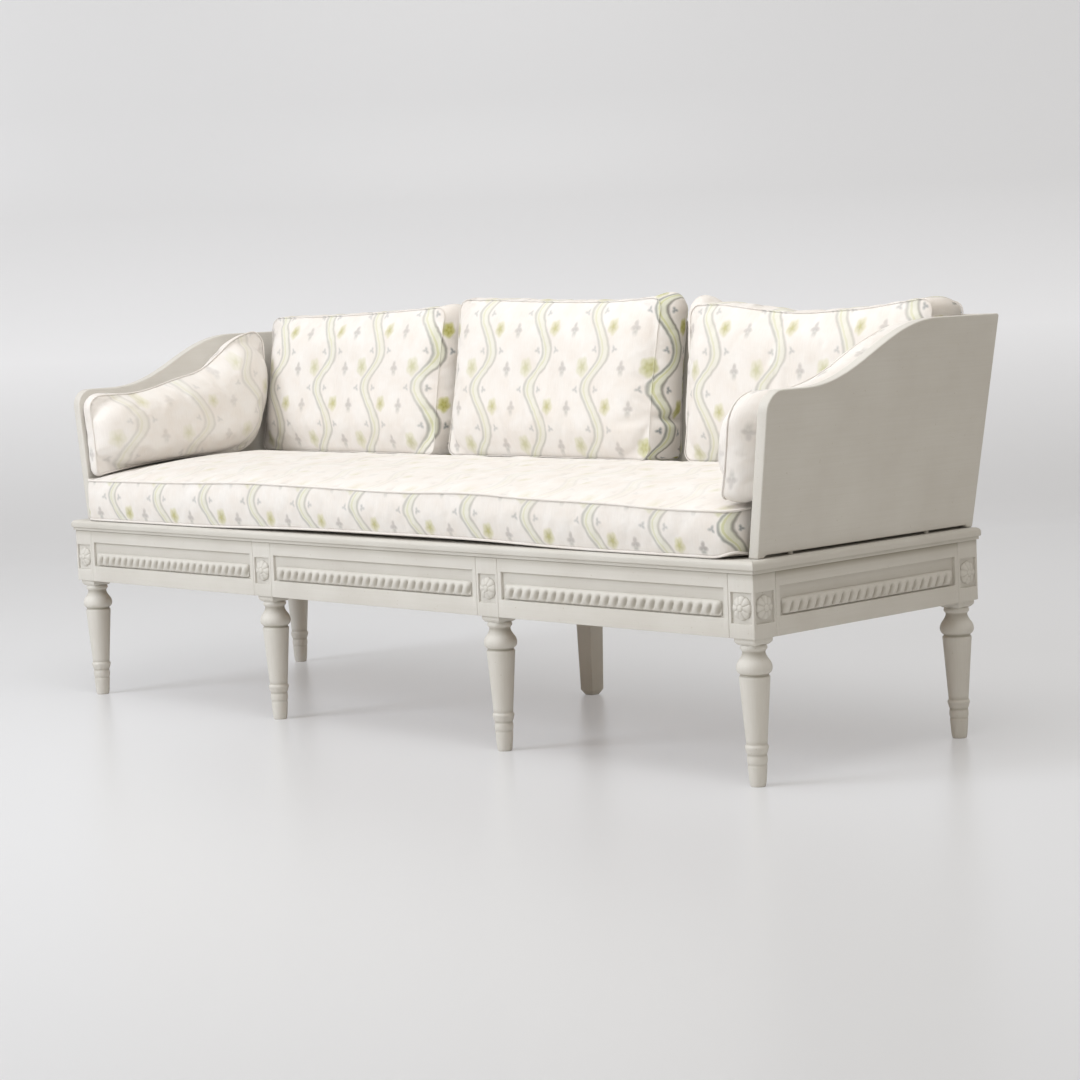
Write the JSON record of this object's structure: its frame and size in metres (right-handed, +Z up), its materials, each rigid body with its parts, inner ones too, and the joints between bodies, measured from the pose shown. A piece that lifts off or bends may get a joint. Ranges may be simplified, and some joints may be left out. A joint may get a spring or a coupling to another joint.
{
  "type": "recamier",
  "caption": "Long painted settee on turned legs, with carved rails, leaning boarded ends and back, and loose boxed cushions in a cream patterned cloth.",
  "frame": {"origin": "bottom centre of the settee's box, on the floor under the soles", "axes": "+X to the right end seen from the front, +Y to the back, +Z up; the front faces -Y"},
  "size_m": [2.0738, 0.669, 0.8243],
  "materials": {
    "painted_wood": "matt warm-grey paint on wood, a little worn at the edges",
    "bare_wood": "bare sawn softwood",
    "cushion_cloth": "woven cream cloth with a printed pattern of winding ribbons and sprigs"
  },
  "bodies": {
    "frame": {"leg_front_left": "painted_wood", "leg_front_middle_left": "painted_wood", "leg_front_middle_right": "painted_wood", "leg_front_right": "painted_wood", "leg_rear_left": "painted_wood", "leg_rear_middle": "painted_wood", "leg_rear_right": "painted_wood", "rosette_front_left_front": "painted_wood", "rosette_front_middle_left_front": "painted_wood", "rosette_front_middle_right_front": "painted_wood", "rosette_front_right_front": "painted_wood", "rosette_front_left_end": "painted_wood", "rosette_front_right_end": "painted_wood", "rosette_rear_left_end": "painted_wood", "rosette_rear_right_end": "painted_wood", "rail_front_left": "painted_wood", "rail_front_middle": "painted_wood", "rail_front_right": "painted_wood", "rail_end_left": "painted_wood", "rail_end_right": "painted_wood", "rail_rear_left": "painted_wood", "rail_rear_right": "painted_wood", "rope_front_left": "painted_wood", "rope_front_middle": "painted_wood", "rope_front_right": "painted_wood", "rope_end_left": "painted_wood", "rope_end_right": "painted_wood", "moulding_front": "painted_wood", "moulding_rear": "painted_wood", "moulding_left": "painted_wood", "moulding_right": "painted_wood", "end_board_left": "painted_wood", "end_board_right": "painted_wood", "back_board": "painted_wood", "seat_board_1": "bare_wood", "seat_board_2": "bare_wood", "seat_board_3": "bare_wood", "seat_board_4": "bare_wood", "seat_board_5": "bare_wood", "seat_board_6": "bare_wood", "ledger_front": "bare_wood", "ledger_rear": "bare_wood", "cross_rail_left": "bare_wood", "cross_rail_right": "bare_wood", "corner_block_front_left": "bare_wood", "corner_block_front_right": "bare_wood", "corner_block_rear_left": "bare_wood", "corner_block_rear_right": "bare_wood", "dowel_left_front": "bare_wood", "dowel_left_rear": "bare_wood", "dowel_right_front": "bare_wood", "dowel_right_rear": "bare_wood"},
    "seat_cushion": {"seat_cushion": "cushion_cloth"},
    "back_cushion_left": {"back_cushion_left": "cushion_cloth"},
    "back_cushion_middle": {"back_cushion_middle": "cushion_cloth"},
    "back_cushion_right": {"back_cushion_right": "cushion_cloth"},
    "side_cushion_left": {"side_cushion_left": "cushion_cloth"},
    "side_cushion_right": {"side_cushion_right": "cushion_cloth"}
  },
  "joints": [
    {"name": "seat_cushion_lift", "type": "slide", "parent": "frame", "child": "seat_cushion", "axis": [0, 0, 1], "range_m": [0, 0.5]},
    {"name": "back_cushion_left_lift", "type": "slide", "parent": "seat_cushion", "child": "back_cushion_left", "axis": [0, 0.0837, 0.9965], "range_m": [0, 0.35]},
    {"name": "back_cushion_middle_lift", "type": "slide", "parent": "seat_cushion", "child": "back_cushion_middle", "axis": [0, 0.0837, 0.9965], "range_m": [0, 0.35]},
    {"name": "back_cushion_right_lift", "type": "slide", "parent": "seat_cushion", "child": "back_cushion_right", "axis": [0, 0.0837, 0.9965], "range_m": [0, 0.35]},
    {"name": "side_cushion_left_lift", "type": "slide", "parent": "seat_cushion", "child": "side_cushion_left", "axis": [0, 0, 1], "range_m": [0, 0.32]},
    {"name": "side_cushion_right_lift", "type": "slide", "parent": "seat_cushion", "child": "side_cushion_right", "axis": [0, 0, 1], "range_m": [0, 0.32]}
  ]
}
